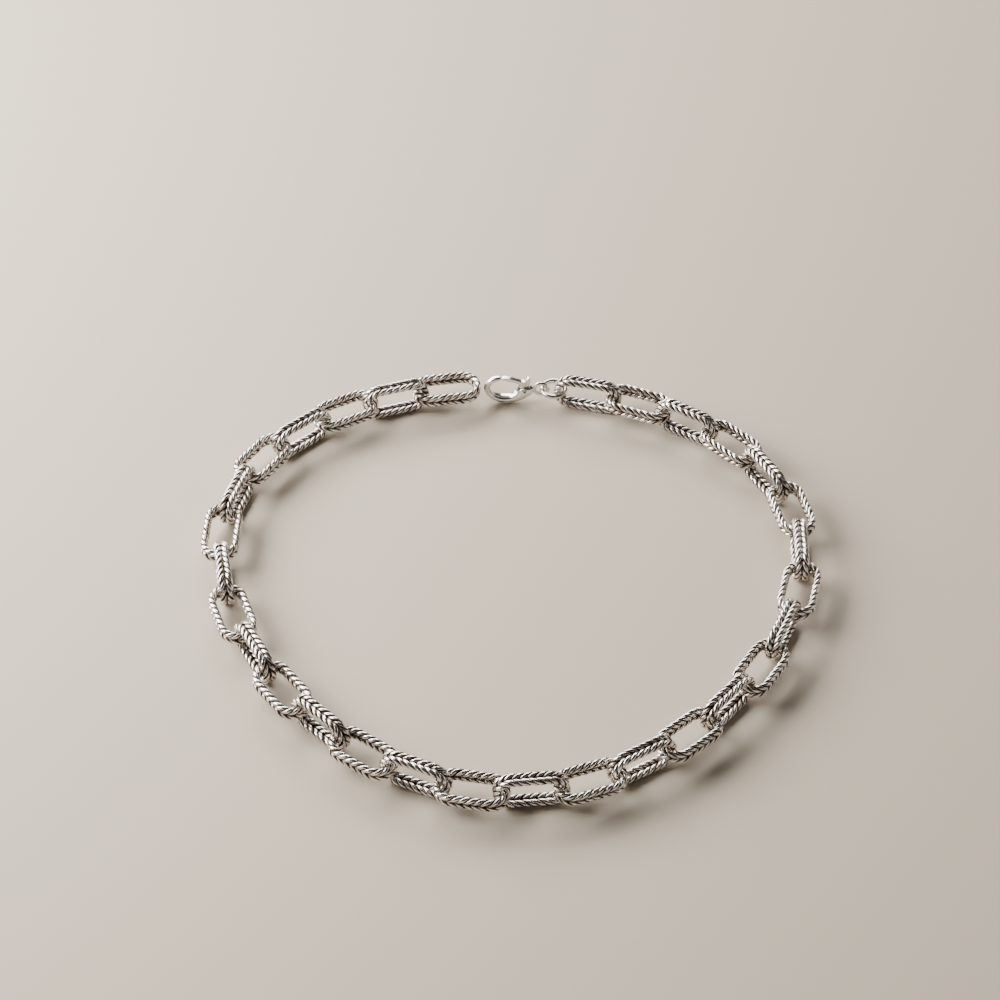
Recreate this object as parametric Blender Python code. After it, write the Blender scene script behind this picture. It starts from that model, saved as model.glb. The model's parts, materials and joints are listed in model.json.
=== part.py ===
"""Chain necklace of double-rope links with a lobster claw clasp, lying in a closed loop on a table.

Metres, +Z up. The loop lies in a level plane, its front towards -Y. Links lie flat and stand upright
in turn. Each link turns on a vertical axis through the bow centre of the flat link of its pair, where
the bow of the upright link slides round inside the bow of the flat one. The claw is unhooked, its nose
just short of link_01.
"""

import math

import bmesh
import bpy
from mathutils import Matrix, Vector

MM = 0.001

# The chain
LINK_COUNT = 30
ROOT_LINK = 16
BOW_RADIUS = 4.2 * MM  # bend of a bow, to the middle of the wire
STRAIGHT = 9.17 * MM  # between a link's two bow centres
ROPE_RADIUS = 0.95 * MM  # mean radius of one twisted rope
ROPE_OFFSET = 0.95 * MM  # from a link's mid-plane to the middle of each of its two ropes
ROPE_FLAT = 0.4 * MM  # half the flat along a rope's inner and outer side
ROPE_SIDE = 1.03 * MM  # from the middle of a rope to its outermost edge
WAIST = 0.55 * MM  # half the height of the brazed seam between the two ropes
BOW_STEPS = 6
SEAT = 1.5 * MM  # from a flat link's bow centre to the wire of the link that hangs in it
REACH = BOW_RADIUS + SEAT  # from that bow centre to the bow centre of the upright link
FLAT_SPAN = STRAIGHT  # between a flat link's two pivots
UPRIGHT_SPAN = STRAIGHT + 2 * REACH
CHAIN_HEIGHT = BOW_RADIUS + ROPE_RADIUS  # the middle of every link, above the table

# The loop: x = HALF_WIDTH sin t - NARROWING sin 2t, y = -HALF_DEPTH cos t
HALF_WIDTH = 77.0 * MM
HALF_DEPTH = 72.85 * MM
NARROWING = 6.5 * MM
LOOP_MIDDLE = (0.335 * MM, 0.53 * MM)  # puts the middle of the whole necklace over the origin
FRONT_SHIFT = 2.9 * MM  # the front link's pivot lies this far left of the middle

# The jump ring, which lies flat
RING_RADIUS = 3.3 * MM
RING_WIRE = 0.7 * MM
RING_SEAT = 1.1 * MM  # from the ring's centre to the wire of the link that holds it
RING_STEPS = 20
RING_SIDES = 8

# The lobster claw, which stands upright. Its own x runs from the eye to the nose and its own z is up.
EYE_RADIUS = 1.9 * MM
EYE_WIRE = 0.6 * MM
EYE_STEPS = 16
EYE_SIDES = 8
EYE_SEAT = 3.65 * MM  # from the jump ring's centre to the eye's
CLAW_SIDES = 12
CLAW_STEPS = 20
# the claw's arm from the eye round to the tip, as (x, z, half height, half thickness) in millimetres
CLAW_ARM = (
    (1.9, 0.0, 0.7, 0.6),
    (3.0, -0.3, 1.5, 1.35),
    (4.4, -0.8, 1.9, 1.65),
    (6.0, -2.3, 1.6, 1.65),
    (8.4, -3.5, 1.15, 1.5),
    (11.3, -3.7, 1.05, 1.4),
    (13.9, -2.4, 1.0, 1.3),
    (15.2, 0.1, 0.95, 1.2),
    (14.4, 2.6, 0.85, 1.15),
    (12.5, 3.7, 0.65, 1.0),
    (11.3, 3.9, 0.4, 0.7),
)
SLOT_LOW = (3.1 * MM, -0.85 * MM, -1.5 * MM)  # the slot between the claw's cheeks, open at the top
SLOT_HIGH = (7.4 * MM, 0.85 * MM, 6.0 * MM)

# The trigger, a flat lever between the cheeks
PIVOT_X = 4.5 * MM
PIVOT_Z = 0.15 * MM
TRIGGER_THICKNESS = 1.2 * MM
BOSS_RADIUS = 1.1 * MM
BOSS_STEPS = 12
BOSS_ARC = (math.radians(15), math.radians(-195))  # round the underside of the boss
# the trigger's thumb tab and arm round from the boss, as (x, z) in millimetres
TRIGGER_OUTLINE = (
    (3.4, 1.2),
    (3.3, 2.0),
    (2.9, 3.3),
    (3.2, 4.0),
    (3.9, 4.0),
    (4.5, 3.2),
    (5.3, 2.9),
    (6.6, 3.3),
    (8.3, 3.9),
    (10.0, 4.2),
    (10.9, 4.15),
    (10.9, 3.5),
    (10.0, 3.2),
    (8.4, 2.8),
    (6.7, 2.1),
    (5.8, 1.1),
)
PIN_RADIUS = 0.42 * MM
PIN_HOLE = 0.52 * MM
PIN_LENGTH = 3.1 * MM
PIN_SIDES = 16
HOLE_DEPTH = 6.0 * MM

# The leaf spring along the floor of the slot and up to the trigger's arm, as (x, z) in millimetres
SPRING_WIDTH = 1.1 * MM
SPRING_THICKNESS = 0.22 * MM
SPRING_LINE = ((3.5, -1.3), (4.5, -1.3), (5.4, -1.05), (6.0, -0.35), (6.35, 0.5), (6.5, 1.5))

SILVER = (0.76, 0.74, 0.70)
SILVER_ROUGHNESS = 0.24
SPRING_STEEL = (0.55, 0.55, 0.57)
SPRING_ROUGHNESS = 0.35
SMOOTH_BELOW = math.radians(50)


def clear_scene():
    for thing in list(bpy.data.objects):
        bpy.data.objects.remove(thing)


def make_metal(name, colour, roughness):
    material = bpy.data.materials.new(name)
    material.use_nodes = True
    shader = material.node_tree.nodes["Principled BSDF"]
    shader.inputs["Base Color"].default_value = (*colour, 1.0)
    shader.inputs["Roughness"].default_value = roughness
    shader.inputs["Metallic"].default_value = 1.0
    return material


def add_object(name, mesh, place, material):
    thing = bpy.data.objects.new(name, mesh)
    bpy.context.scene.collection.objects.link(thing)
    thing.matrix_world = place
    if not mesh.materials:
        mesh.materials.append(material)
    return thing


def finish_mesh(name, shape):
    bmesh.ops.recalc_face_normals(shape, faces=shape.faces)
    mesh = bpy.data.meshes.new(name)
    shape.to_mesh(mesh)
    shape.free()
    mesh.shade_smooth()
    mesh.set_sharp_from_angle(angle=SMOOTH_BELOW)
    return mesh


def bridge_rings(shape, rings, closed):
    """Quads from each ring of points to the next. An open tube gets a face over each end."""
    made = [[shape.verts.new(point) for point in ring] for ring in rings]
    following = made[1:] + made[:1] if closed else made[1:]
    for ring, after in zip(made, following):
        for i in range(len(ring)):
            j = (i + 1) % len(ring)
            shape.faces.new((ring[i], ring[j], after[j], after[i]))
    if not closed:
        shape.faces.new(made[0])
        shape.faces.new(made[-1])


# ---------------------------------------------------------------- links


def rope_pair_section():
    """(across the link's mid-plane, outward) points round the two brazed ropes."""
    side = [
        (0.0, WAIST),
        (ROPE_OFFSET - ROPE_FLAT, ROPE_RADIUS),
        (ROPE_OFFSET + ROPE_FLAT, ROPE_RADIUS),
        (ROPE_OFFSET + ROPE_SIDE, 0.0),
        (ROPE_OFFSET + ROPE_FLAT, -ROPE_RADIUS),
        (ROPE_OFFSET - ROPE_FLAT, -ROPE_RADIUS),
    ]
    return side + [(-across, -out) for across, out in side]


def oval_stations():
    """(middle of the wire, outward direction) round the oval, which lies in its own XY plane."""
    stations = []
    for end in (1, -1):
        for step in range(BOW_STEPS + 1):
            angle = math.pi * (step / BOW_STEPS - 0.5)
            outward = Vector((math.cos(angle), math.sin(angle), 0.0)) * end
            middle = Vector((end * STRAIGHT / 2, 0.0, 0.0)) + outward * BOW_RADIUS
            stations.append((middle, outward))
    return stations


def link_mesh(name, pivot_to_middle, upright):
    """A link whose origin is on its pivot, with the middle of the link along +X."""
    shape = bmesh.new()
    rings = [
        [middle + outward * out + Vector((0.0, 0.0, across)) for across, out in rope_pair_section()]
        for middle, outward in oval_stations()
    ]
    bridge_rings(shape, rings, closed=True)
    roll = Matrix.Rotation(math.pi / 2 if upright else 0.0, 4, "X")
    place = Matrix.Translation((pivot_to_middle, 0, 0)) @ roll
    bmesh.ops.transform(shape, matrix=place, verts=shape.verts)
    return finish_mesh(name, shape)


def loop_point(turn):
    """A point on the loop, at turn radians round from the front towards +X."""
    across = HALF_WIDTH * math.sin(turn) - NARROWING * math.sin(2 * turn)
    return Vector((LOOP_MIDDLE[0] + across, LOOP_MIDDLE[1] - HALF_DEPTH * math.cos(turn), CHAIN_HEIGHT))


def step_along_loop(turn, span, way):
    """The turn at which the loop is a straight span away from where it is at turn."""
    start = loop_point(turn)
    near, far = 0.0, 0.6
    for _ in range(50):
        middle = (near + far) / 2
        if (loop_point(turn + way * middle) - start).length < span:
            near = middle
        else:
            far = middle
    return turn + way * near


def aim(origin, target):
    """A placement at origin with its X axis level and pointing at target."""
    ahead = target - origin
    return Matrix.Translation(origin) @ Matrix.Rotation(math.atan2(ahead.y, ahead.x), 4, "Z")


def build_half(links, turn, way, meshes, silver):
    """Lays links along the loop from the pivot at turn.

    Returns the last link's placement and the turn of its far pivot.
    """
    for number in links:
        flat = number % 2 == 1
        ahead = step_along_loop(turn, FLAT_SPAN if flat else UPRIGHT_SPAN, way)
        place = aim(loop_point(turn), loop_point(ahead))
        add_object(f"link_{number:02d}", meshes[flat], place, silver)
        turn = ahead
    return place, turn


def build_chain(silver):
    """All links. Returns the far bow centre of link_01 and the placement of the last link."""
    meshes = {
        True: link_mesh("flat_link", FLAT_SPAN / 2, upright=False),
        False: link_mesh("upright_link", UPRIGHT_SPAN / 2, upright=True),
    }
    front = -FRONT_SHIFT / (HALF_WIDTH - 2 * NARROWING)
    _, left_turn = build_half(range(ROOT_LINK - 1, 0, -1), front, -1, meshes, silver)
    last_place, _ = build_half(range(ROOT_LINK, LINK_COUNT + 1), front, 1, meshes, silver)
    return loop_point(left_turn), last_place


# ---------------------------------------------------------------- clasp


def torus_mesh(name, radius, wire, steps, sides):
    """A level ring round the origin."""
    shape = bmesh.new()
    rings = []
    for step in range(steps):
        angle = 2 * math.pi * step / steps
        outward = Vector((math.cos(angle), math.sin(angle), 0.0))
        ring = []
        for side in range(sides):
            round_wire = 2 * math.pi * side / sides
            out = outward * (radius + wire * math.cos(round_wire))
            ring.append(out + Vector((0.0, 0.0, wire * math.sin(round_wire))))
        rings.append(ring)
    bridge_rings(shape, rings, closed=True)
    return finish_mesh(name, shape)


def rod_mesh(name, radius, length, sides):
    """A rod along Y through the trigger's pivot."""
    shape = bmesh.new()
    bmesh.ops.create_cone(
        shape, cap_ends=True, segments=sides, radius1=radius, radius2=radius, depth=length
    )
    bmesh.ops.rotate(shape, matrix=Matrix.Rotation(math.pi / 2, 3, "X"), verts=shape.verts)
    bmesh.ops.translate(shape, vec=(PIVOT_X, 0.0, PIVOT_Z), verts=shape.verts)
    return finish_mesh(name, shape)


def box_mesh(name, low, high):
    shape = bmesh.new()
    bmesh.ops.create_cube(shape, size=1.0)
    for corner in shape.verts:
        corner.co = Vector([low[k] if corner.co[k] < 0 else high[k] for k in range(3)])
    return finish_mesh(name, shape)


def trigger_mesh():
    """A plate of the trigger's outline, closed round the underside of its boss."""
    outline = [(x * MM, z * MM) for x, z in TRIGGER_OUTLINE]
    start, end = BOSS_ARC
    for step in range(BOSS_STEPS + 1):
        angle = start + (end - start) * step / BOSS_STEPS
        outline.append((PIVOT_X + BOSS_RADIUS * math.cos(angle), PIVOT_Z + BOSS_RADIUS * math.sin(angle)))
    shape = bmesh.new()
    face = shape.faces.new([shape.verts.new((x, -TRIGGER_THICKNESS / 2, z)) for x, z in outline])
    grown = bmesh.ops.extrude_face_region(shape, geom=[face])["geom"]
    moved = [item for item in grown if isinstance(item, bmesh.types.BMVert)]
    bmesh.ops.translate(shape, vec=(0.0, TRIGGER_THICKNESS, 0.0), verts=moved)
    return finish_mesh("claw_trigger", shape)


def smooth_line(points, steps):
    """steps + 1 points on a Catmull-Rom curve through points, each a tuple of any length."""
    rows = [Vector(point) for point in points]
    rows = [2 * rows[0] - rows[1]] + rows + [2 * rows[-1] - rows[-2]]
    spans = len(rows) - 3
    line = []
    for step in range(steps + 1):
        along = spans * step / steps
        k = min(int(along), spans - 1)
        t = along - k
        a, b, c, d = rows[k : k + 4]
        bend = (2 * a - 5 * b + 4 * c - d) * t**2 + (3 * b - a - 3 * c + d) * t**3
        line.append(0.5 * (2 * b + (c - a) * t + bend))
    return line


def across_line(line, k):
    """The direction square to the line at point k, in the claw's XZ plane."""
    before = line[max(k - 1, 0)]
    after = line[min(k + 1, len(line) - 1)]
    along = Vector((after[0] - before[0], 0.0, after[1] - before[1])).normalized()
    return Vector((along.z, 0.0, -along.x))


def claw_arm_mesh():
    shape = bmesh.new()
    line = smooth_line(CLAW_ARM, CLAW_STEPS)
    rings = []
    for k, (x, z, height, thickness) in enumerate(line):
        across = across_line(line, k)
        middle = Vector((x, 0.0, z))
        ring = []
        for side in range(CLAW_SIDES):
            angle = 2 * math.pi * side / CLAW_SIDES
            off = across * (height * math.cos(angle)) + Vector((0.0, thickness * math.sin(angle), 0.0))
            ring.append((middle + off) * MM)
        rings.append(ring)
    bridge_rings(shape, rings, closed=False)
    return finish_mesh("claw_body", shape)


def spring_mesh():
    """A strip that follows SPRING_LINE."""
    line = [Vector(point) for point in SPRING_LINE]
    shape = bmesh.new()
    rings = []
    for k, (x, z) in enumerate(line):
        half = across_line(line, k) * (SPRING_THICKNESS / 2)
        edge = Vector((0.0, SPRING_WIDTH / 2, 0.0))
        middle = Vector((x, 0.0, z)) * MM
        top = middle + half
        bottom = middle - half
        rings.append([top + edge, top - edge, bottom - edge, bottom + edge])
    bridge_rings(shape, rings, closed=False)
    return finish_mesh("trigger_spring", shape)


def combine(thing, mesh, operation):
    """Joins mesh to thing, or cuts it out, with a Boolean and a hidden tool where thing stands."""
    tool = bpy.data.objects.new(f"{thing.name}_{mesh.name}", mesh)
    bpy.context.scene.collection.objects.link(tool)
    tool.parent = thing
    tool.hide_render = True
    tool.display_type = "WIRE"
    change = thing.modifiers.new(mesh.name, "BOOLEAN")
    change.operation = operation
    change.object = tool


def add_axis(name, place, parent=None):
    """An empty on a joint's axis."""
    axis = bpy.data.objects.new(name, None)
    bpy.context.scene.collection.objects.link(axis)
    axis.parent = parent
    axis.matrix_local = place
    return axis


def add_part(name, mesh, axis, shift, material):
    """A piece of the clasp, whose own origin lies at shift from the axis that carries it."""
    mesh.materials.append(material)
    thing = bpy.data.objects.new(name, mesh)
    bpy.context.scene.collection.objects.link(thing)
    thing.parent = axis
    thing.location = shift
    return thing


def build_clasp(last_place, catch, silver, steel):
    """The jump ring in the last link, and the claw on it, aimed at the catch."""
    ring_place = last_place @ Matrix.Translation((REACH + STRAIGHT + BOW_RADIUS + RING_SEAT, 0.0, 0.0))
    lift_place = last_place @ Matrix.Translation((REACH + STRAIGHT, 0.0, 0.0))
    lift_axis = add_axis("jump_ring_axis", lift_place)
    ring_mesh = torus_mesh("jump_ring", RING_RADIUS, RING_WIRE, RING_STEPS, RING_SIDES)
    add_part("jump_ring", ring_mesh, lift_axis, (BOW_RADIUS + RING_SEAT, 0.0, 0.0), silver)

    claw_axis = add_axis("claw_axis", aim(ring_place.translation, catch))
    eye_place = Vector((EYE_SEAT, 0.0, 0.0))
    body = add_part("claw_body", claw_arm_mesh(), claw_axis, eye_place, silver)
    eye = torus_mesh("eye", EYE_RADIUS, EYE_WIRE, EYE_STEPS, EYE_SIDES)
    eye.transform(Matrix.Rotation(math.pi / 2, 4, "X"))
    combine(body, eye, "UNION")
    combine(body, box_mesh("slot", SLOT_LOW, SLOT_HIGH), "DIFFERENCE")
    combine(body, rod_mesh("pin_hole", PIN_HOLE, HOLE_DEPTH, PIN_SIDES), "DIFFERENCE")
    pin_mesh = rod_mesh("trigger_pin", PIN_RADIUS, PIN_LENGTH, PIN_SIDES)
    add_part("trigger_pin", pin_mesh, claw_axis, eye_place, steel)
    add_part("trigger_spring", spring_mesh(), claw_axis, eye_place, steel)

    pivot = Vector((PIVOT_X, 0.0, PIVOT_Z))
    trigger_axis = add_axis("trigger_axis", Matrix.Translation(eye_place + pivot), claw_axis)
    trigger = add_part("claw_trigger", trigger_mesh(), trigger_axis, -pivot, silver)
    combine(trigger, rod_mesh("pivot_hole", PIN_HOLE, HOLE_DEPTH, PIN_SIDES), "DIFFERENCE")


def main():
    clear_scene()
    silver = make_metal("oxidised_silver", SILVER, SILVER_ROUGHNESS)
    steel = make_metal("spring_steel", SPRING_STEEL, SPRING_ROUGHNESS)
    catch, last_place = build_chain(silver)
    build_clasp(last_place, catch, silver, steel)


main()
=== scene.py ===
"""Looks of the chain necklace: links of twisted silver rope, a jump ring and a lobster claw.

Every piece is built at its CAD node's place, which comes from the nodes' boxes and the joints' axes.
Sizes below are in millimetres, and the finished meshes are in metres.
"""

import json
import math

import bmesh
import bpy
import numpy as np
from mathutils import Matrix, Vector


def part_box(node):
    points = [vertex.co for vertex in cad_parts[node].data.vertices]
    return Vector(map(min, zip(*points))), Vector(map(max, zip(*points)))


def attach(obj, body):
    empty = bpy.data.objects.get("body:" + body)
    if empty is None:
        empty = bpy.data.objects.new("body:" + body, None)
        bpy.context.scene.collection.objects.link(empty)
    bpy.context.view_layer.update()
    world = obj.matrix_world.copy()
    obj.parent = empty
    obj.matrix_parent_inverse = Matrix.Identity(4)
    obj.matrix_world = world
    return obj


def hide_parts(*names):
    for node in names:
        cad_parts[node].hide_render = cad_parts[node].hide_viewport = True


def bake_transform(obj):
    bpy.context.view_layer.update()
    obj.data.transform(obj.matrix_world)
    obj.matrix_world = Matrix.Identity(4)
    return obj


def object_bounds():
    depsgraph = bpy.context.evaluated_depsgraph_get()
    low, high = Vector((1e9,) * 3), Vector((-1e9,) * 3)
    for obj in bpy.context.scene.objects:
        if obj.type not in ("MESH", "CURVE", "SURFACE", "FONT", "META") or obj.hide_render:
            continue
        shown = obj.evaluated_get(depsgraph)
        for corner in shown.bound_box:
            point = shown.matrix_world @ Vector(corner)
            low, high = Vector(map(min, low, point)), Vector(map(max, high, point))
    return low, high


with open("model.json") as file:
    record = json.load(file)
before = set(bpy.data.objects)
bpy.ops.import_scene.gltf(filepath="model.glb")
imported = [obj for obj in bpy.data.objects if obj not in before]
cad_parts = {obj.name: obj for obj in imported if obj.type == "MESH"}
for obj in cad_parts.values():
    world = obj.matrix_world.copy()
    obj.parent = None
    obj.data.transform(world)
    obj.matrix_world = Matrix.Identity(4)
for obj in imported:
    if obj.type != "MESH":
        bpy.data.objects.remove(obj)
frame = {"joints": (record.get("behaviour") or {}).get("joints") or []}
cad_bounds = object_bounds()

MM = 0.001
UP = Vector((0.0, 0.0, 1.0))

# Links: two ropes side by side round an oval, each rope three twisted strands
LINK_COUNT = 30
ROOT_LINK = 16
BOW_RADIUS = 4.2
STRAIGHT = 9.17
CIRCUIT = 2 * (STRAIGHT + math.pi * BOW_RADIUS)
ROPE_OFFSET = 0.95
STRANDS = 3
CROWNS = 23  # times the strands come to the outside in one circuit
HELIX_RADIUS = 0.58
STRAND_HIGH = 0.45  # half the strand's height, away from the rope's middle
STRAND_WIDE = 0.5  # half the strand's width, along the rope's surface
CROWN_START = 0.88  # the tumbled crowns are pressed in beyond this
CROWN_LIMIT = 0.99
STRAND_STEPS = 440
STRAND_SIDES = 14
SMALLEST_REACH = 0.01  # keeps the pressing from dividing by nothing
PHASE_STEP = 0.381  # share of a turn by which the twist starts later on each link
GROOVE_HALF_WIDTH = 0.34  # of the painted shade line where a link's two ropes meet
# how much painted shade darkens that line
GROOVE_SHADE = 0.25
TWIST_WANDER = 0.13  # radians by which the hand-made twist runs early or late
REVERSED_LINKS = {16, 17, 22}  # chevrons that point back towards the front link
UPRIGHT_HEIGHT = 6 * MM  # a CAD link taller than this stands upright

# Jump ring
RING_RADIUS = 3.3
RING_WIRE = 0.7
RING_STEPS = 160
RING_SIDES = 28
SEAM_BULGE = 0.035
SEAM_WIDTH = 0.55

# Lobster claw: x runs from the eye to the nose, z is up
EYE_SEAT = 3.65
EYE_RADIUS = 1.9
EYE_WIRE = 0.6
EYE_STEPS = 72
EYE_SIDES = 24
ARM_STEPS = 150
ARM_SIDES = 36
ARM_SQUARENESS = 2.5
# the arm from the eye round to the tip, as (x, z, half height, half thickness)
CLAW_ARM = (
    (1.9, 0.0, 0.7, 0.6),
    (3.0, -0.3, 1.5, 1.35),
    (4.4, -0.8, 1.9, 1.65),
    (6.0, -2.3, 1.6, 1.65),
    (8.4, -3.5, 1.15, 1.5),
    (11.3, -3.7, 1.05, 1.4),
    (13.9, -2.4, 1.0, 1.3),
    (15.2, 0.1, 0.95, 1.2),
    (14.4, 2.6, 0.85, 1.15),
    (12.5, 3.7, 0.65, 1.0),
    (11.3, 3.9, 0.4, 0.7),
)
SLOT_LOW = (3.1, -0.85, -1.5)
SLOT_HIGH = (7.4, 0.85, 6.0)
CAST_VOXEL = 0.075  # rounds the cast pieces' edges
CAST_SMOOTHING = 9

PIVOT = Vector((4.5, 0.0, 0.15))
TRIGGER_THICKNESS = 1.2
TRIGGER_STEPS = 75
BOSS_RADIUS = 1.1
BOSS_STEPS = 24
BOSS_ARC = (math.radians(15), math.radians(-195))
TRIGGER_OUTLINE = (
    (3.4, 1.2),
    (3.3, 2.0),
    (2.9, 3.3),
    (3.2, 4.0),
    (3.9, 4.0),
    (4.5, 3.2),
    (5.3, 2.9),
    (6.6, 3.3),
    (8.3, 3.9),
    (10.0, 4.2),
    (10.9, 4.15),
    (10.9, 3.5),
    (10.0, 3.2),
    (8.4, 2.8),
    (6.7, 2.1),
    (5.8, 1.1),
)
PIN_HOLE = 0.52
HOLE_DEPTH = 6.0
HOLE_SIDES = 48
# half of the rivet's outline, as (radius, distance from the middle)
RIVET_OUTLINE = ((0.0, 1.56), (0.2, 1.54), (0.36, 1.47), (0.42, 1.38), (0.42, 0.0))
RIVET_SIDES = 40
RIVET_WELD = 0.001
SPRING_WIDTH = 1.1
SPRING_THICKNESS = 0.22
SPRING_STEPS = 48
SPRING_SIDES = 24
SPRING_SQUARENESS = 5.0
SPRING_SHARP = math.radians(50)
SPRING_LINE = ((3.5, -1.3), (4.5, -1.3), (5.4, -1.05), (6.0, -0.35), (6.35, 0.5), (6.5, 1.5))

# Materials: colours, and how deep the bump is in metres
# the rope's oxide colour is partly real oxide in the twist's grooves and partly painted shade there
ROPE_OXIDE_AND_SHADE = (0.105, 0.062, 0.042, 1.0)
ROPE_DULL = (0.80, 0.74, 0.675, 1.0)
ROPE_CLEAN = (0.90, 0.865, 0.82, 1.0)
ROPE_BUMP = 0.00003
CAST_TARNISH = (0.20, 0.155, 0.125, 1.0)
CAST_DULL = (0.80, 0.775, 0.735, 1.0)
CAST_CLEAN = (0.90, 0.885, 0.86, 1.0)
CAST_BUMP = 0.000008
STEEL_DARK = (0.42, 0.42, 0.44, 1.0)
STEEL_LIGHT = (0.62, 0.62, 0.64, 1.0)
STEEL_BUMP = 0.00001

# Floor, camera and lights, in metres, but for the lens and sensor, which are in millimetres
FLOOR_SIZE = 4.0
FLOOR_GAP = 0.00004
FLOOR_COLOUR = (0.52, 0.445, 0.355)
FLOOR_ROUGHNESS = 0.85
SENSOR_WIDTH = 36.0
LENS = 101.9
CLIP_START = 0.01
CAMERA_PLACE = Vector((8.27, -507.26, 557.93)) * MM
CAMERA_TARGET = Vector((-3.24, 28.63, 5.0)) * MM
CAMERA_ROLL = math.radians(0.76)
# (name, place, aimed at, width, height, power, colour)
LIGHTS = (
    ("window_left", (-0.48, 0.14, 0.30), (0.0, 0.0, 0.0), 0.50, 0.34, 11.0, (1.0, 0.985, 0.96)),
    ("window_back", (-0.25, 0.95, 0.60), (0.0, 0.0, 0.0), 1.00, 0.45, 20.0, (1.0, 0.98, 0.95)),
    ("fill_right", (0.90, 0.20, 0.35), (0.0, 0.0, 0.0), 0.25, 0.30, 0.5, (1.0, 0.97, 0.93)),
)
WORLD_COLOUR = (1.0, 0.95, 0.90)
WORLD_LOW = 0.8  # brightness of the surroundings at the horizon
WORLD_HIGH = 0.035  # and overhead
WORLD_FADE = 0.45  # sine of the elevation at which the fading ends


# ---------------------------------------------------------------- mesh helpers


def tube_quads(rings, sides, closed):
    """Quads between neighbouring rings of a tube, as rows of four vertex numbers."""
    first = np.arange(rings if closed else rings - 1)[:, None] * sides
    after = (first + sides) % (rings * sides)
    near = np.arange(sides)[None, :]
    far = (near + 1) % sides
    return np.stack([first + near, first + far, after + far, after + near], -1).reshape(-1, 4)


def quad_mesh(name, points, quads):
    """A smooth mesh from rows of points, in metres, and rows of four vertex numbers."""
    mesh = bpy.data.meshes.new(name)
    mesh.vertices.add(len(points))
    mesh.vertices.foreach_set("co", points.astype(np.float32).ravel())
    mesh.loops.add(quads.size)
    mesh.loops.foreach_set("vertex_index", quads.astype(np.int32).ravel())
    mesh.polygons.add(len(quads))
    mesh.polygons.foreach_set("loop_start", np.arange(0, quads.size, 4, dtype=np.int32))
    mesh.update(calc_edges=True)
    mesh.shade_smooth()
    return mesh


def add_attribute(mesh, name, values):
    """One number for each vertex, which the materials read."""
    layer = mesh.attributes.new(name, "FLOAT", "POINT")
    layer.data.foreach_set("value", values.astype(np.float32).ravel())


def place_rows(points, place):
    """Points in millimetres, moved by a placement and turned into metres."""
    matrix = np.array(place)
    return (points @ matrix[:3, :3].T + matrix[:3, 3]) * MM


def add_piece(name, mesh, material, node):
    """Shows mesh in place of a CAD node. What it rides on is set by the caller."""
    piece = bpy.data.objects.new(name, mesh)
    bpy.context.scene.collection.objects.link(piece)
    mesh.materials.clear()
    mesh.materials.append(material)
    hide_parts(node)
    return piece


def joint_place(name):
    """A point on a joint's axis, in metres."""
    return next(Vector(joint["pos_m"]) for joint in frame["joints"] if joint["name"] == name)


def unit_rows(rows):
    return rows / np.linalg.norm(rows, axis=-1, keepdims=True)


def soft_limit(values, start, limit):
    """Values up to start stay, and larger ones level off towards limit."""
    room = limit - start
    over = np.maximum(values - start, 0.0)
    return np.where(values > start, start + room * np.tanh(over / room), values)


# ---------------------------------------------------------------- links


def oval_at(along):
    """Centreline points and outward directions of a link's oval, in its own XY plane.

    along holds the points' distances along the centreline.
    """
    half = CIRCUIT / 2
    way = np.where(along % CIRCUIT < half, 1.0, -1.0)[:, None]
    travelled = along % half
    angle = np.maximum(travelled - STRAIGHT, 0.0) / BOW_RADIUS - math.pi / 2
    outward = np.stack([np.cos(angle), np.sin(angle), np.zeros_like(angle)], -1)
    middle = outward * BOW_RADIUS
    middle[:, 0] += np.minimum(travelled, STRAIGHT) - STRAIGHT / 2
    return middle * way, outward * way


def rope_mesh_rows(side, start, seed):
    """Points of one rope's strands and how far each lies from the rope's middle.

    The three strands are one closed tube, which goes round the oval three times. side is 1 or -1 for the
    rope above or below the link's middle plane, and the two ropes mirror each other across it.
    """
    random = np.random.default_rng(seed)
    turn = 2 * math.pi * np.arange(STRAND_STEPS) / STRAND_STEPS
    along = turn / (2 * math.pi) * STRANDS * CIRCUIT
    middle, outward = oval_at(along)
    normal = np.array([0.0, 0.0, side])
    rope = middle + normal * ROPE_OFFSET
    slow = np.sin(3 * turn + random.uniform(0, 6))
    fast = np.sin(7 * turn + random.uniform(0, 6))
    phase = (CROWNS * turn + start + TWIST_WANDER * slow * fast)[:, None]
    away = outward * np.cos(phase) + normal * np.sin(phase)
    centre = rope + away * HELIX_RADIUS
    forward = unit_rows(np.roll(centre, -1, axis=0) - np.roll(centre, 1, axis=0))
    high = unit_rows(away - forward * np.sum(away * forward, axis=-1, keepdims=True))
    wide = np.cross(forward, high)
    around = (2 * math.pi * np.arange(STRAND_SIDES) / STRAND_SIDES)[None, :, None]
    off_high = high[:, None, :] * np.cos(around) * STRAND_HIGH
    off_wide = wide[:, None, :] * np.sin(around) * STRAND_WIDE
    points = centre[:, None, :] + (off_high + off_wide)
    # press the crowns in, measured square to the rope
    out = np.sum((points - rope[:, None, :]) * outward[:, None, :], axis=-1)
    up = np.sum((points - rope[:, None, :]) * normal, axis=-1)
    reach = np.hypot(out, up)
    pressed = soft_limit(reach, CROWN_START, CROWN_LIMIT)
    change = (pressed / np.maximum(reach, SMALLEST_REACH) - 1.0)[:, :, None]
    points = points + change * (out[:, :, None] * outward[:, None, :] + up[:, :, None] * normal)
    return points.reshape(-1, 3), pressed.ravel()


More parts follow.
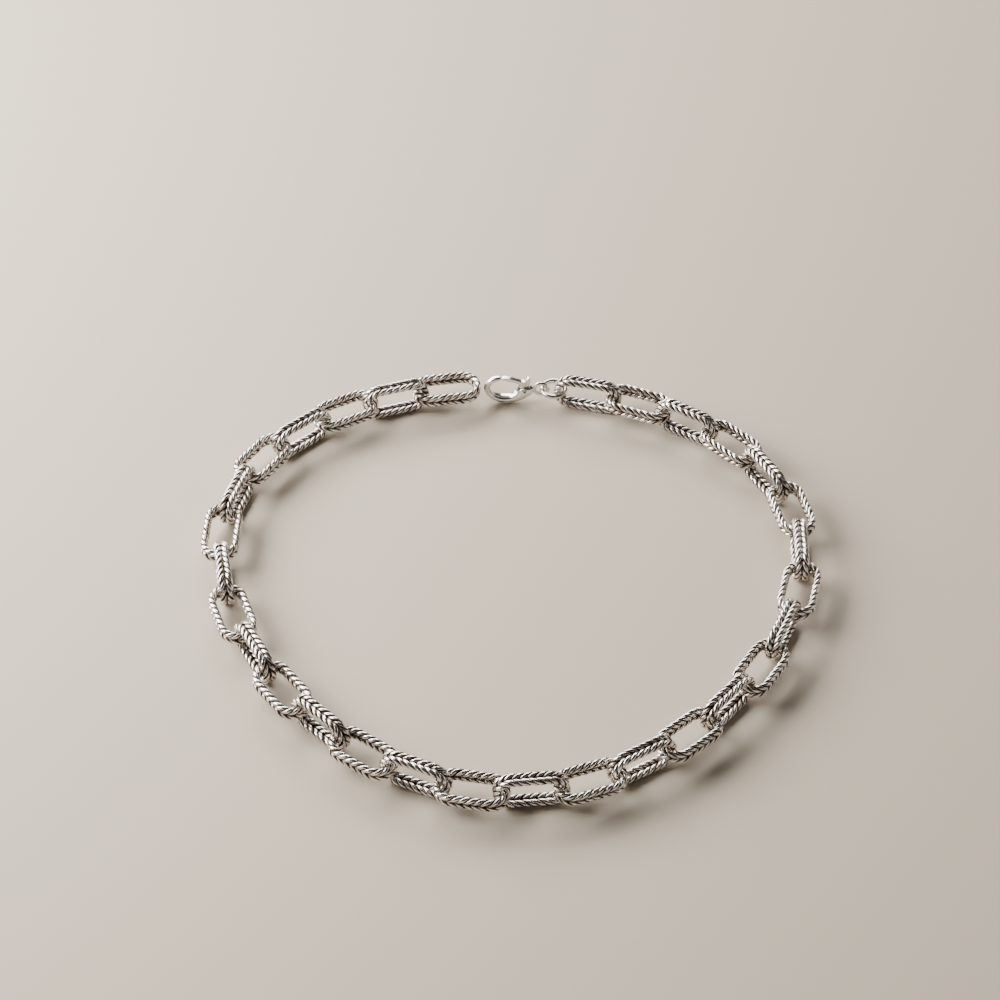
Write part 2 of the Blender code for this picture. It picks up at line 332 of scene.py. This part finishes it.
def link_axes(number):
    """The link's middle and its local axes, from its CAD node and its joint.

    The local X axis runs along the link, away from the root link. Chevrons on the +Y bar point along +X.
    """
    node = f"link_{number:02d}"
    low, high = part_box(node)
    middle = (low + high) / 2
    if number == ROOT_LINK:
        ahead = joint_place(f"link_{ROOT_LINK + 1}_swing") - joint_place(f"link_{ROOT_LINK - 1}_swing")
    else:
        ahead = middle - joint_place(f"{node}_swing")
    ahead.z = 0.0
    ahead.normalize()
    upright = high.z - low.z > UPRIGHT_HEIGHT
    shown = UP.copy() if upright else ahead.cross(UP)
    if not upright and shown.dot(middle) < 0:
        shown = -shown
    if number in REVERSED_LINKS:
        shown = -shown
    return middle / MM, ahead, shown


def build_link(number, silver):
    middle, ahead, shown = link_axes(number)
    place = Matrix.Translation(middle) @ Matrix((ahead, shown, ahead.cross(shown))).transposed().to_4x4()
    start = 2 * math.pi * (number * PHASE_STEP % 1.0)
    points = []
    reach = []
    quads = []
    for side in (1, -1):
        rows, distances = rope_mesh_rows(side, start, number)
        faces = tube_quads(STRAND_STEPS, STRAND_SIDES, closed=True)
        if side < 0:
            faces = faces[:, ::-1]
        quads.append(faces + sum(len(part) for part in points))
        points.append(rows)
        reach.append(distances)
    points = np.concatenate(points)
    mesh = quad_mesh(f"link_{number:02d}_rope", place_rows(points, place), np.concatenate(quads))
    # painted shade along the line where the two ropes meet, taken off the strands' height so the
    # material paints it in oxide colour
    rope_join_shade = np.clip(1.0 - np.abs(points[:, 2]) / GROOVE_HALF_WIDTH, 0.0, 1.0)
    crown = np.clip(np.concatenate(reach) / CROWN_LIMIT, 0.0, 1.0)
    add_attribute(mesh, "crown", crown - GROOVE_SHADE * rope_join_shade)
    node = f"link_{number:02d}"
    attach(add_piece(f"rope_{node}", mesh, silver, node), node)


# ---------------------------------------------------------------- clasp


def smooth_line(points, steps):
    """steps + 1 points on a Catmull-Rom curve through points, each a tuple of any length."""
    rows = [Vector(point) for point in points]
    rows = [2 * rows[0] - rows[1]] + rows + [2 * rows[-1] - rows[-2]]
    spans = len(rows) - 3
    line = []
    for step in range(steps + 1):
        along = spans * step / steps
        k = min(int(along), spans - 1)
        t = along - k
        a, b, c, d = rows[k : k + 4]
        bend = (2 * a - 5 * b + 4 * c - d) * t**2 + (3 * b - a - 3 * c + d) * t**3
        line.append(0.5 * (2 * b + (c - a) * t + bend))
    return line


def across_line(line, k):
    """The direction square to the line at point k, in the claw's XZ plane."""
    before = line[max(k - 1, 0)]
    after = line[min(k + 1, len(line) - 1)]
    along = Vector((after[0] - before[0], 0.0, after[1] - before[1])).normalized()
    return Vector((along.z, 0.0, -along.x))


def loft(shape, rings, closed):
    """Quads from each ring of points to the next, with a face over each end of an open tube."""
    made = [[shape.verts.new(point) for point in ring] for ring in rings]
    following = made[1:] + made[:1] if closed else made[1:]
    for ring, after in zip(made, following):
        for i in range(len(ring)):
            j = (i + 1) % len(ring)
            shape.faces.new((ring[i], ring[j], after[j], after[i]))
    if not closed:
        shape.faces.new(made[0])
        shape.faces.new(made[-1])


def finish_shape(name, shape):
    bmesh.ops.recalc_face_normals(shape, faces=shape.faces)
    mesh = bpy.data.meshes.new(name)
    shape.to_mesh(mesh)
    shape.free()
    return mesh


def rounded(angle, power):
    """A point on a superellipse of half size 1, between a circle and a square."""
    cos, sin = math.cos(angle), math.sin(angle)
    return (
        math.copysign(abs(cos) ** (2 / power), cos),
        math.copysign(abs(sin) ** (2 / power), sin),
    )


def arm_shape():
    shape = bmesh.new()
    line = smooth_line(CLAW_ARM, ARM_STEPS)
    rings = []
    for k, (x, z, height, thickness) in enumerate(line):
        across = across_line(line, k)
        ring = []
        for side in range(ARM_SIDES):
            high, wide = rounded(2 * math.pi * side / ARM_SIDES, ARM_SQUARENESS)
            ring.append(Vector((x, thickness * wide, z)) + across * (height * high))
        rings.append(ring)
    loft(shape, rings, closed=False)
    return finish_shape("claw_arm", shape)


def eye_shape():
    """The ring at the claw's heel, upright in the XZ plane."""
    shape = bmesh.new()
    rings = []
    for step in range(EYE_STEPS):
        angle = 2 * math.pi * step / EYE_STEPS
        outward = Vector((math.cos(angle), 0.0, math.sin(angle)))
        ring = []
        for side in range(EYE_SIDES):
            round_wire = 2 * math.pi * side / EYE_SIDES
            middle = outward * (EYE_RADIUS + EYE_WIRE * math.cos(round_wire))
            ring.append(middle + Vector((0.0, EYE_WIRE * math.sin(round_wire), 0.0)))
        rings.append(ring)
    loft(shape, rings, closed=True)
    return finish_shape("eye", shape)


def box_shape(low, high):
    shape = bmesh.new()
    bmesh.ops.create_cube(shape, size=1.0)
    for corner in shape.verts:
        corner.co = Vector([low[k] if corner.co[k] < 0 else high[k] for k in range(3)])
    return finish_shape("slot", shape)


def hole_shape():
    shape = bmesh.new()
    bmesh.ops.create_cone(
        shape,
        cap_ends=True,
        segments=HOLE_SIDES,
        radius1=PIN_HOLE,
        radius2=PIN_HOLE,
        depth=HOLE_DEPTH,
    )
    bmesh.ops.rotate(shape, matrix=Matrix.Rotation(math.pi / 2, 3, "X"), verts=shape.verts)
    bmesh.ops.translate(shape, vec=PIVOT, verts=shape.verts)
    return finish_shape("hole", shape)


def trigger_shape():
    outline = [tuple(point) for point in smooth_line(TRIGGER_OUTLINE, TRIGGER_STEPS)]
    start, end = BOSS_ARC
    for step in range(BOSS_STEPS + 1):
        angle = start + (end - start) * step / BOSS_STEPS
        x = PIVOT.x + BOSS_RADIUS * math.cos(angle)
        z = PIVOT.z + BOSS_RADIUS * math.sin(angle)
        outline.append((x, z))
    shape = bmesh.new()
    face = shape.faces.new([shape.verts.new((x, -TRIGGER_THICKNESS / 2, z)) for x, z in outline])
    grown = bmesh.ops.extrude_face_region(shape, geom=[face])["geom"]
    moved = [item for item in grown if isinstance(item, bmesh.types.BMVert)]
    bmesh.ops.translate(shape, vec=(0.0, TRIGGER_THICKNESS, 0.0), verts=moved)
    return finish_shape("trigger", shape)


def cast(name, mesh, changes, place):
    """mesh after its Boolean changes, rounded as a tumbled casting, moved to place in metres."""
    tools = []
    thing = bpy.data.objects.new(name, mesh)
    bpy.context.scene.collection.objects.link(thing)
    for operation, tool_mesh in changes:
        tool = bpy.data.objects.new(f"{name}_tool", tool_mesh)
        bpy.context.scene.collection.objects.link(tool)
        tools.append(tool)
        change = thing.modifiers.new("shape", "BOOLEAN")
        change.operation = operation
        change.object = tool
    remesh = thing.modifiers.new("skin", "REMESH")
    remesh.mode = "VOXEL"
    remesh.voxel_size = CAST_VOXEL
    smooth = thing.modifiers.new("tumble", "SMOOTH")
    smooth.iterations = CAST_SMOOTHING
    evaluated = thing.evaluated_get(bpy.context.evaluated_depsgraph_get())
    made = bpy.data.meshes.new_from_object(evaluated)
    made.name = name
    made.transform(Matrix.Scale(MM, 4) @ place)
    made.shade_smooth()
    for used in [thing, *tools]:
        bpy.data.objects.remove(used)
    return made


def ring_piece_mesh(place):
    """The jump ring, with a slight swelling where its ends are soldered."""
    angle = (2 * math.pi * np.arange(RING_STEPS) / RING_STEPS)[:, None]
    around = (2 * math.pi * np.arange(RING_SIDES) / RING_SIDES)[None, :]
    from_seam = (angle - math.pi) * RING_RADIUS
    wire = RING_WIRE + SEAM_BULGE * (np.exp(-((from_seam / SEAM_WIDTH) ** 2)) - 0.5)
    out = RING_RADIUS + wire * np.cos(around)
    points = np.stack([out * np.cos(angle), out * np.sin(angle), wire * np.sin(around)], -1)
    quads = tube_quads(RING_STEPS, RING_SIDES, closed=True)
    return quad_mesh("jump_ring_wire", place_rows(points.reshape(-1, 3), place), quads)


def rivet_mesh(place):
    shape = bmesh.new()
    outline = list(RIVET_OUTLINE) + [(radius, -y) for radius, y in RIVET_OUTLINE[-2::-1]]
    spine = [shape.verts.new((radius, y, 0.0)) for radius, y in outline]
    edges = [shape.edges.new(pair) for pair in zip(spine, spine[1:])]
    bmesh.ops.spin(
        shape, geom=spine + edges, axis=(0, 1, 0), cent=(0, 0, 0), angle=2 * math.pi, steps=RIVET_SIDES
    )
    bmesh.ops.remove_doubles(shape, verts=shape.verts, dist=RIVET_WELD)
    bmesh.ops.translate(shape, vec=PIVOT, verts=shape.verts)
    mesh = finish_shape("rivet", shape)
    mesh.transform(Matrix.Scale(MM, 4) @ place)
    mesh.shade_smooth()
    return mesh


def spring_mesh(place):
    """The bent leaf, with rounded edges."""
    shape = bmesh.new()
    line = smooth_line(SPRING_LINE, SPRING_STEPS)
    rings = []
    for k, (x, z) in enumerate(line):
        across = across_line(line, k)
        ring = []
        for side in range(SPRING_SIDES):
            high, wide = rounded(2 * math.pi * side / SPRING_SIDES, SPRING_SQUARENESS)
            edge = Vector((0.0, wide * SPRING_WIDTH / 2, 0.0))
            ring.append(Vector((x, 0.0, z)) + across * (high * SPRING_THICKNESS / 2) + edge)
        rings.append(ring)
    loft(shape, rings, closed=False)
    mesh = finish_shape("leaf", shape)
    mesh.transform(Matrix.Scale(MM, 4) @ place)
    mesh.shade_smooth()
    mesh.set_sharp_from_angle(angle=SPRING_SHARP)
    return mesh


def build_clasp(silver, steel):
    ring_middle = joint_place("claw_swing") / MM
    ahead = joint_place("trigger_press") / MM - ring_middle
    turned = Matrix.Rotation(math.atan2(ahead.y, ahead.x), 4, "Z")
    ring_place = Matrix.Translation(ring_middle) @ turned
    claw_place = ring_place @ Matrix.Translation((EYE_SEAT, 0.0, 0.0))
    claw_changes = [
        ("UNION", eye_shape()),
        ("DIFFERENCE", box_shape(SLOT_LOW, SLOT_HIGH)),
        ("DIFFERENCE", hole_shape()),
    ]
    ring = ring_piece_mesh(ring_place)
    claw = cast("claw_casting", arm_shape(), claw_changes, claw_place)
    trigger = cast("trigger_lever", trigger_shape(), [("DIFFERENCE", hole_shape())], claw_place)
    rivet = rivet_mesh(claw_place)
    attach(add_piece("ring_wire", ring, silver, "jump_ring"), "jump_ring")
    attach(add_piece("claw_casting", claw, silver, "claw_body"), "claw")
    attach(add_piece("trigger_lever", trigger, silver, "claw_trigger"), "trigger")
    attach(add_piece("trigger_rivet", rivet, steel, "trigger_pin"), "claw")

    # the leaf is set in place with the claw and its mesh is baked where it stands, on no body
    leaf = add_piece("spring_leaf", spring_mesh(claw_place), steel, "trigger_spring")
    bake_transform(leaf)


# ---------------------------------------------------------------- materials


class Nodes:
    """Makes a material's nodes and links them."""

    def __init__(self, name):
        self.material = bpy.data.materials.new(name)
        self.material.use_nodes = True
        self.tree = self.material.node_tree
        self.shader = self.tree.nodes["Principled BSDF"]

    def add(self, kind, settings=(), inputs=()):
        node = self.tree.nodes.new(kind)
        for key, value in dict(settings).items():
            setattr(node, key, value)
        for key, value in dict(inputs).items():
            if isinstance(value, bpy.types.NodeSocket):
                self.tree.links.new(value, node.inputs[key])
            else:
                node.inputs[key].default_value = value
        return node

    def noise(self, place, scale, detail):
        inputs = {"Vector": place, "Scale": scale, "Detail": detail}
        return self.add("ShaderNodeTexNoise", inputs=inputs).outputs[0]

    def spread(self, value, low, high, to_low, to_high):
        """value's range from low to high, stretched smoothly over to_low to to_high."""
        inputs = {"Value": value, 1: low, 2: high, 3: to_low, 4: to_high}
        return self.add("ShaderNodeMapRange", {"interpolation_type": "SMOOTHSTEP"}, inputs).outputs[0]

    def mix(self, share, one, other):
        inputs = {0: share, 6: one, 7: other}
        return self.add("ShaderNodeMix", {"data_type": "RGBA"}, inputs).outputs[2]

    def math(self, operation, one, other):
        return self.add("ShaderNodeMath", {"operation": operation}, {0: one, 1: other}).outputs[0]

    def finish(self, colour, roughness, height, depth):
        self.tree.links.new(colour, self.shader.inputs["Base Color"])
        self.tree.links.new(roughness, self.shader.inputs["Roughness"])
        bump = self.add("ShaderNodeBump", inputs={"Height": height, "Strength": 1.0, "Distance": depth})
        self.tree.links.new(bump.outputs[0], self.shader.inputs["Normal"])
        self.shader.inputs["Metallic"].default_value = 1.0
        return self.material


def rope_silver():
    """Silver with dark oxide and polishing dirt left in the grooves of the twist; the oxide colour also
    paints the shade in those grooves and along the line where the two ropes meet.
    """
    nodes = Nodes("rope_silver")
    place = nodes.add("ShaderNodeTexCoord").outputs["Object"]
    # crown holds the strands' height, less the painted shade where the two ropes meet
    crown = nodes.add("ShaderNodeAttribute", {"attribute_name": "crown"}).outputs["Fac"]
    patches = nodes.noise(place, 260.0, 3.0)
    specks = nodes.noise(place, 2600.0, 4.0)
    scratches = nodes.noise(place, 9000.0, 2.0)
    # low strand height gets oxide colour, which is both real oxide and painted shade in the grooves,
    # varied by patches and specks of wear
    wear_and_shade = nodes.math("ADD", crown, nodes.spread(patches, 0.3, 0.7, -0.07, 0.07))
    wear_and_shade = nodes.math("ADD", wear_and_shade, nodes.spread(specks, 0.3, 0.7, -0.06, 0.06))
    bright = nodes.spread(wear_and_shade, 0.74, 1.0, 0.0, 1.0)
    silver = nodes.mix(patches, ROPE_DULL, ROPE_CLEAN)
    colour = nodes.mix(bright, ROPE_OXIDE_AND_SHADE, silver)
    polish = nodes.spread(bright, 0.0, 1.0, 0.46, 0.17)
    speckle = nodes.spread(specks, 0.3, 0.8, 0.0, 0.14)
    roughness = nodes.math("ADD", polish, speckle)
    height = nodes.math("ADD", specks, nodes.math("MULTIPLY", scratches, 0.35))
    return nodes.finish(colour, roughness, height, ROPE_BUMP)


def cast_silver():
    """Tumbled cast silver with soft tarnish patches and hairline scratches."""
    nodes = Nodes("cast_silver")
    place = nodes.add("ShaderNodeTexCoord").outputs["Object"]
    mapping = {"Vector": place, "Scale": (0.16, 1.0, 1.0), "Rotation": (0.0, 0.4, 0.3)}
    stretched = nodes.add("ShaderNodeMapping", inputs=mapping).outputs[0]
    patches = nodes.noise(place, 320.0, 4.0)
    specks = nodes.noise(place, 2300.0, 4.0)
    scratches = nodes.noise(stretched, 11000.0, 2.0)
    cavity = nodes.add("ShaderNodeNewGeometry").outputs["Pointiness"]
    hollow = nodes.spread(cavity, 0.40, 0.52, 1.0, 0.0)
    tarnish = nodes.math("MAXIMUM", hollow, nodes.spread(patches, 0.50, 0.75, 0.0, 0.45))
    silver = nodes.mix(specks, CAST_DULL, CAST_CLEAN)
    colour = nodes.mix(tarnish, silver, CAST_TARNISH)
    polish = nodes.spread(tarnish, 0.0, 1.0, 0.18, 0.42)
    scored = nodes.spread(scratches, 0.45, 0.75, 0.0, 0.16)
    roughness = nodes.math("ADD", polish, scored)
    height = nodes.math("ADD", specks, nodes.math("MULTIPLY", scratches, 0.5))
    return nodes.finish(colour, roughness, height, CAST_BUMP)


def brushed_steel():
    """Grey spring steel, brushed along its length."""
    nodes = Nodes("brushed_steel")
    place = nodes.add("ShaderNodeTexCoord").outputs["Object"]
    mapping = {"Vector": place, "Scale": (0.05, 1.0, 0.6)}
    stretched = nodes.add("ShaderNodeMapping", inputs=mapping).outputs[0]
    brushing = nodes.noise(stretched, 14000.0, 3.0)
    patches = nodes.noise(place, 900.0, 3.0)
    streaks = nodes.spread(brushing, 0.3, 0.7, 0.0, 1.0)
    colour = nodes.mix(streaks, STEEL_DARK, STEEL_LIGHT)
    roughness = nodes.spread(patches, 0.3, 0.7, 0.24, 0.40)
    return nodes.finish(colour, roughness, brushing, STEEL_BUMP)


# ---------------------------------------------------------------- stage


def build_floor():
    low, _ = cad_bounds
    shape = bmesh.new()
    bmesh.ops.create_grid(shape, x_segments=1, y_segments=1, size=FLOOR_SIZE / 2)
    floor = bpy.data.objects.new("floor", finish_shape("floor", shape))
    bpy.context.scene.collection.objects.link(floor)
    floor.location.z = low.z - FLOOR_GAP
    material = bpy.data.materials.new("pale_floor")
    material.use_nodes = True
    shader = material.node_tree.nodes["Principled BSDF"]
    shader.inputs["Base Color"].default_value = (*FLOOR_COLOUR, 1.0)
    shader.inputs["Roughness"].default_value = FLOOR_ROUGHNESS
    floor.data.materials.append(material)


def point_at(thing, place, target, roll=0.0):
    """Puts a camera or light at place, looking at target and turned by roll round its own axis."""
    thing.location = place
    turned = (Vector(target) - Vector(place)).to_track_quat("-Z", "Y").to_matrix()
    thing.rotation_euler = (turned @ Matrix.Rotation(roll, 3, "Z")).to_euler()


def build_camera():
    data = bpy.data.cameras.new("camera")
    data.sensor_width = SENSOR_WIDTH
    data.lens = LENS
    data.clip_start = CLIP_START
    camera = bpy.data.objects.new("camera", data)
    bpy.context.scene.collection.objects.link(camera)
    point_at(camera, CAMERA_PLACE, CAMERA_TARGET, CAMERA_ROLL)
    bpy.context.scene.camera = camera


def build_lights():
    for name, place, target, width, height, power, colour in LIGHTS:
        data = bpy.data.lights.new(name, "AREA")
        data.shape = "RECTANGLE"
        data.size = width
        data.size_y = height
        data.energy = power
        data.color = colour
        light = bpy.data.objects.new(name, data)
        bpy.context.scene.collection.objects.link(light)
        point_at(light, place, target)


def build_world():
    """Pale surroundings at the horizon that darken overhead, which the silver reflects."""
    world = bpy.data.worlds.new("studio")
    world.use_nodes = True
    tree = world.node_tree
    direction = tree.nodes.new("ShaderNodeTexCoord").outputs["Generated"]
    height = tree.nodes.new("ShaderNodeSeparateXYZ")
    fade = tree.nodes.new("ShaderNodeMapRange")
    fade.interpolation_type = "SMOOTHSTEP"
    for name, value in (("From Max", WORLD_FADE), ("To Min", WORLD_LOW), ("To Max", WORLD_HIGH)):
        fade.inputs[name].default_value = value
    background = tree.nodes["Background"]
    background.inputs["Color"].default_value = (*WORLD_COLOUR, 1.0)
    tree.links.new(direction, height.inputs[0])
    tree.links.new(height.outputs["Z"], fade.inputs["Value"])
    tree.links.new(fade.outputs[0], background.inputs["Strength"])
    bpy.context.scene.world = world


def main():
    build_camera()
    build_floor()
    build_lights()
    build_world()
    silver = rope_silver()
    for number in range(1, LINK_COUNT + 1):
        build_link(number, silver)
    build_clasp(cast_silver(), brushed_steel())


main()
